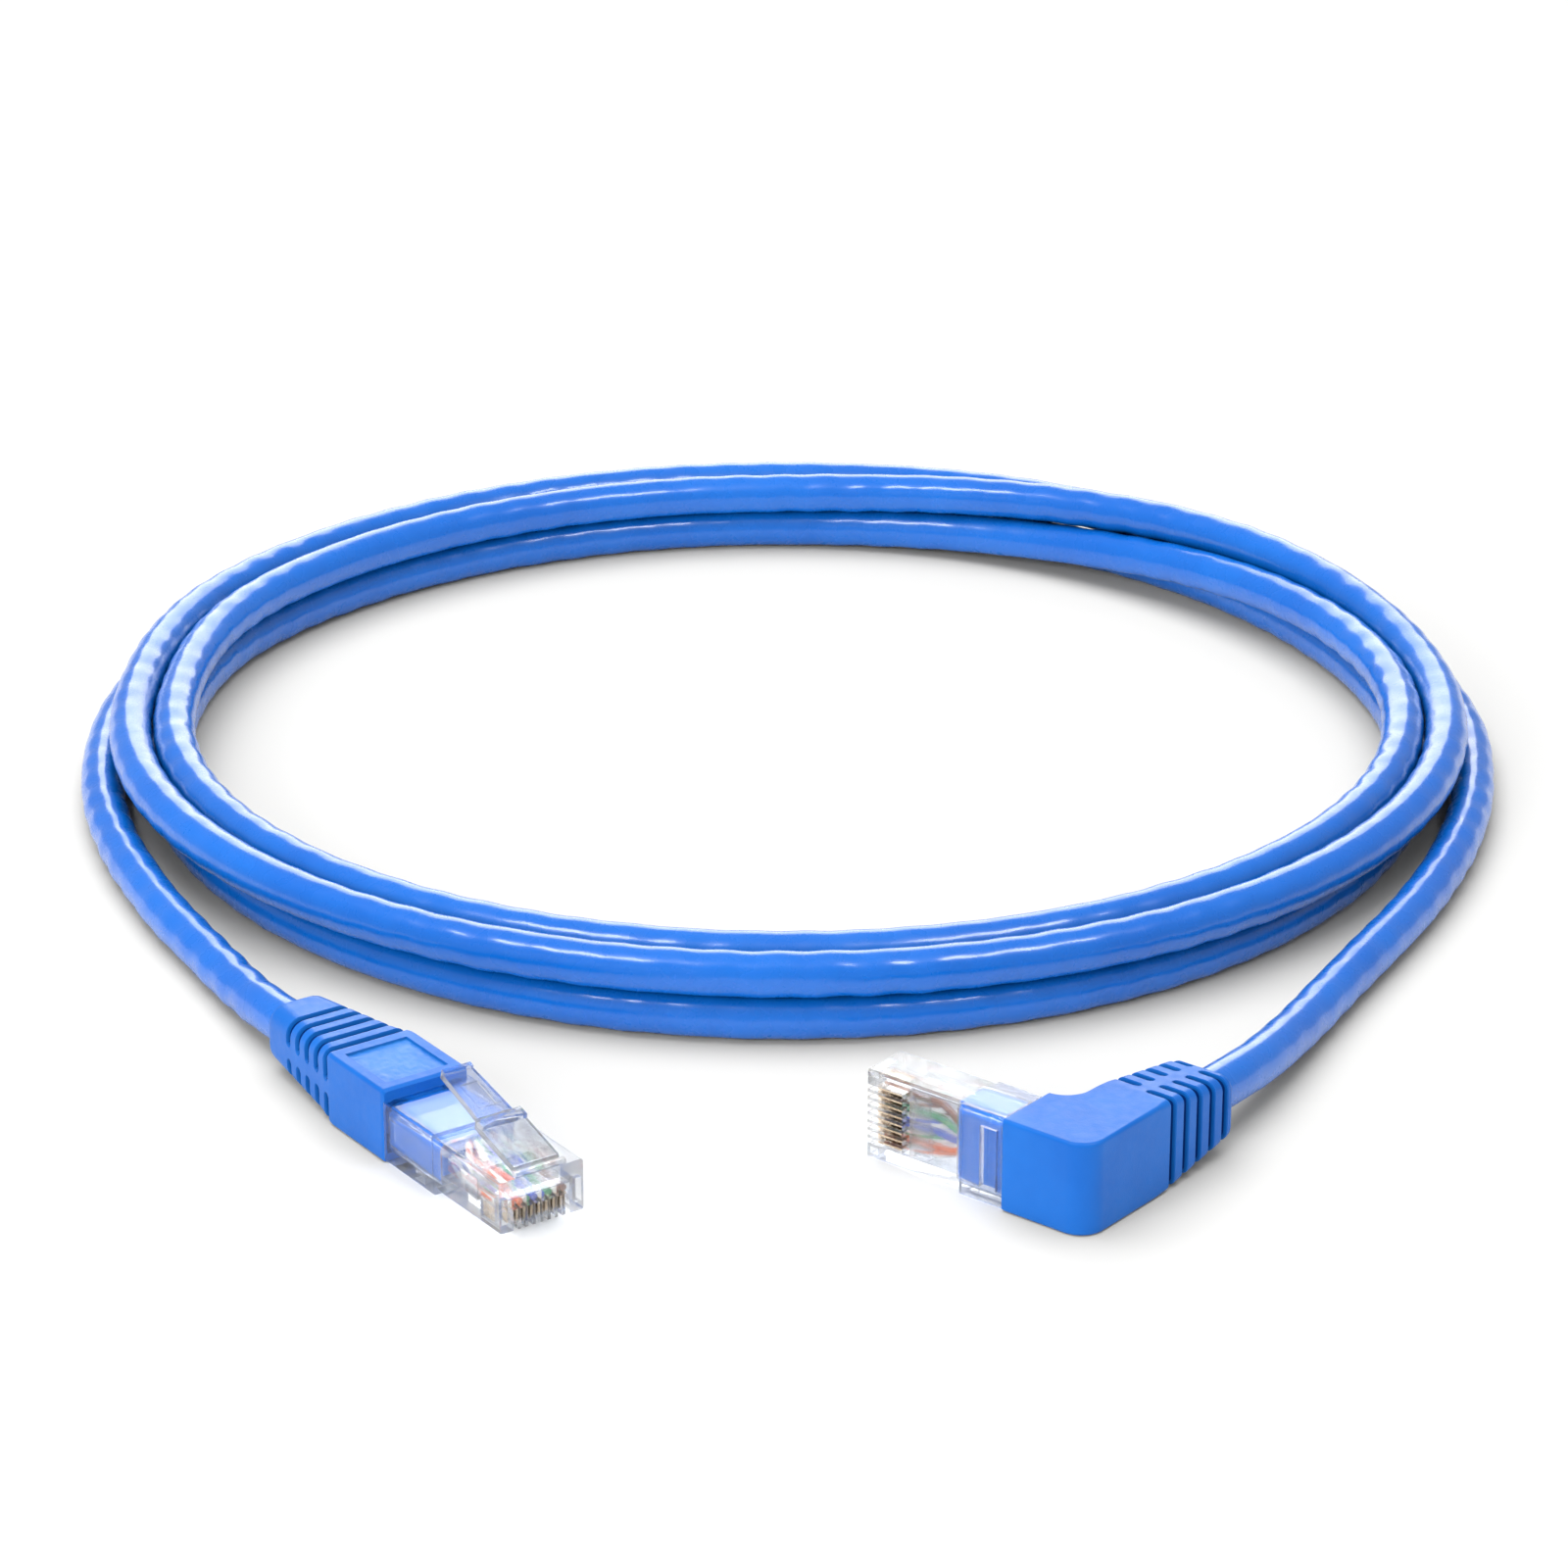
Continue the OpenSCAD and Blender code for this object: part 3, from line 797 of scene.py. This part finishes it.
def contact_finish():
    """Gold plating, pale and a little worn."""
    f = Finish("contact_gold", Metallic=1.0)
    f.colour(f.ramp(f.noise(900, 3), [(0.3, linear(232, 202, 168)), (0.7, linear(250, 232, 206))]))
    f.roughness(f.span(f.noise(1800, 3), 0.16, 0.36))
    f.bump((f.noise(2400, 2), 0.2, 0.00003))
    return f.material


# A wave texture of this scale has one band to each unit of length
WAVE_UNIT = math.pi / 10
STRIPE_LEAN = math.radians(9)


def wire_finish(name, base, stripe, end):
    """Polyethylene insulation; the white wires carry a coloured stripe that leans along them."""
    f = Finish(name, IOR=1.5)
    if stripe:
        move, turn, scale = AT[end].inverted().decompose()
        local = f.node("ShaderNodeMapping", vector_type="POINT")
        local.inputs["Location"].default_value = move
        local.inputs["Rotation"].default_value = turn.to_euler()
        local.inputs["Scale"].default_value = scale
        f.link(f.place, local.inputs["Vector"])
        lean = f.node("ShaderNodeMapping", vector_type="POINT")
        lean.inputs["Rotation"].default_value = (0, 0, STRIPE_LEAN)
        f.link(local.outputs["Vector"], lean.inputs["Vector"])
        wave = f.node("ShaderNodeTexWave", bands_direction="Y")
        wave.inputs["Scale"].default_value = WAVE_UNIT / PITCH
        f.link(lean.outputs["Vector"], wave.inputs["Vector"])
        f.colour(f.ramp(wave.outputs["Fac"], [(0.66, base), (0.74, stripe)]))
    else:
        dark = [v * 0.8 for v in base[:3]] + [1]
        f.colour(f.ramp(f.noise(500, 3), [(0.3, dark), (0.7, base)]))
    f.roughness(f.span(f.noise(1500, 2), 0.25, 0.42))
    f.bump((f.noise(1500, 2), 0.1, 0.00004))
    return f.material


def dress(piece, *finishes):
    """Gives a piece its finishes; each face keeps its slot."""
    slots = [face.material_index for face in piece.data.polygons]
    piece.data.materials.clear()
    for finish in finishes:
        piece.data.materials.append(finish)
    for face, slot in zip(piece.data.polygons, slots):
        face.material_index = min(slot, len(finishes) - 1)


BEVEL_WIDTH = 0.09 * MM
BEVEL_EDGE = math.radians(40)


def soften(part):
    """Round the crisp edges of a moulded CAD part a little."""
    part.modifiers.new("weld", "WELD").merge_threshold = 0.000002
    bevel = part.modifiers.new("edges", "BEVEL")
    bevel.width = BEVEL_WIDTH
    bevel.segments = 2
    bevel.limit_method = "ANGLE"
    bevel.angle_limit = BEVEL_EDGE
    bevel.use_clamp_overlap = True


jacket = jacket_finish()
boot_skin = boot_finish("boot_blue", (12, 112, 218), (22, 122, 228))
# The grooves' finish: a darker blue, painted shade deep in the grooves
groove_painted_shade = boot_finish("boot_groove_painted_shade", (2, 58, 150), (6, 68, 164))
# The panel floor's finish: a lighter blue, a painted sheen; its higher shine is real gloss
panel_painted_sheen = boot_finish("boot_panel_painted_sheen", (20, 121, 226), (42, 137, 235), shine=0.4)
pressed = boot_finish("pressed_jacket_blue", (2, 106, 206), (8, 116, 216), shine=0.12)
clear = clear_finish("clear_plastic", (0.89, 0.915, 0.95, 1), 0.03, 0.72)
guide = clear_finish("clear_guide", (0.95, 0.97, 1.0, 1), 0.12, 0.6)
gold = contact_finish()
WIRE_COLOURS = {
    "orange": linear(236, 108, 44), "green": linear(30, 150, 92), "blue": linear(40, 84, 200),
    "brown": linear(128, 70, 44), "white": linear(240, 236, 228)}
dress(cable, jacket)
for end in AT:
    dress(boots[end], boot_skin, groove_painted_shade, panel_painted_sheen)
    for part in (CAD[end + "_plug_body"], CAD[end + "_latch"]):
        dress(part, clear)
        soften(part)
    dress(CAD[end + "_wire_guide"], guide)
    dress(CAD[end + "_jacket_end"], pressed)
    for pin in range(1, len(WIRES) + 1):
        dress(CAD[f"{end}_contact_{pin}"], gold)
        colour = WIRES[pin - 1]
        if colour.startswith("white_"):
            skin = wire_finish(f"{end}_{colour}", WIRE_COLOURS["white"], WIRE_COLOURS[colour[6:]], end)
        else:
            skin = wire_finish(f"{end}_{colour}", WIRE_COLOURS[colour], None, end)
        dress(wires[end, pin], skin)

# ---- Studio ----

floor = mesh_piece("floor", [(-3, -3, 0), (3, -3, 0), (3, 5, 0), (-3, 5, 0)], [(0, 1, 2, 3)])
floor.location.z = -0.00002
floor_finish = Finish("floor", Roughness=0.8)
floor_finish.colour(floor_finish.ramp(
    floor_finish.noise(4, 2), [(0.3, (0.95, 0.948, 0.94, 1)), (0.7, (0.965, 0.963, 0.955, 1))]))
dress(floor, floor_finish.material)

world = bpy.data.worlds.new("studio")
scene.world = world
world.use_nodes = True
world.node_tree.nodes["Background"].inputs["Color"].default_value = (1, 1, 1, 1)
world.node_tree.nodes["Background"].inputs["Strength"].default_value = 0.42


def soft_box(name, place, target, size, power, lights=True, shines=True):
    """An area light; it lights the surfaces, or it only shines in their gloss, or both."""
    light = bpy.data.lights.new(name, "AREA")
    light.shape = "RECTANGLE"
    light.size, light.size_y = size
    light.energy = power
    lamp = bpy.data.objects.new(name, light)
    lamp.location = place
    lamp.rotation_euler = (Vector(target) - Vector(place)).to_track_quat("-Z", "Y").to_euler()
    lamp.visible_diffuse = lights
    lamp.visible_glossy = shines
    scene.collection.objects.link(lamp)


soft_box("over_box", (-0.15, 0.25, 1.35), (0, 0.1, 0), (1.4, 1.6), 15.5, shines=False)
soft_box("front_box", (-0.75, -1.0, 0.6), (0, 0.05, 0), (0.9, 0.6), 7, shines=False)
soft_box("back_glow", (0, 1.6, 0.62), (0, 0.1, 0), (1.0, 1.0), 10, lights=False)
soft_box("left_glow", (-0.37, -0.2, 0.8), (0, 0.05, 0), (0.36, 0.16), 3, lights=False)
soft_box("right_glow", (0.37, -0.2, 0.8), (0, 0.05, 0), (0.36, 0.16), 3, lights=False)
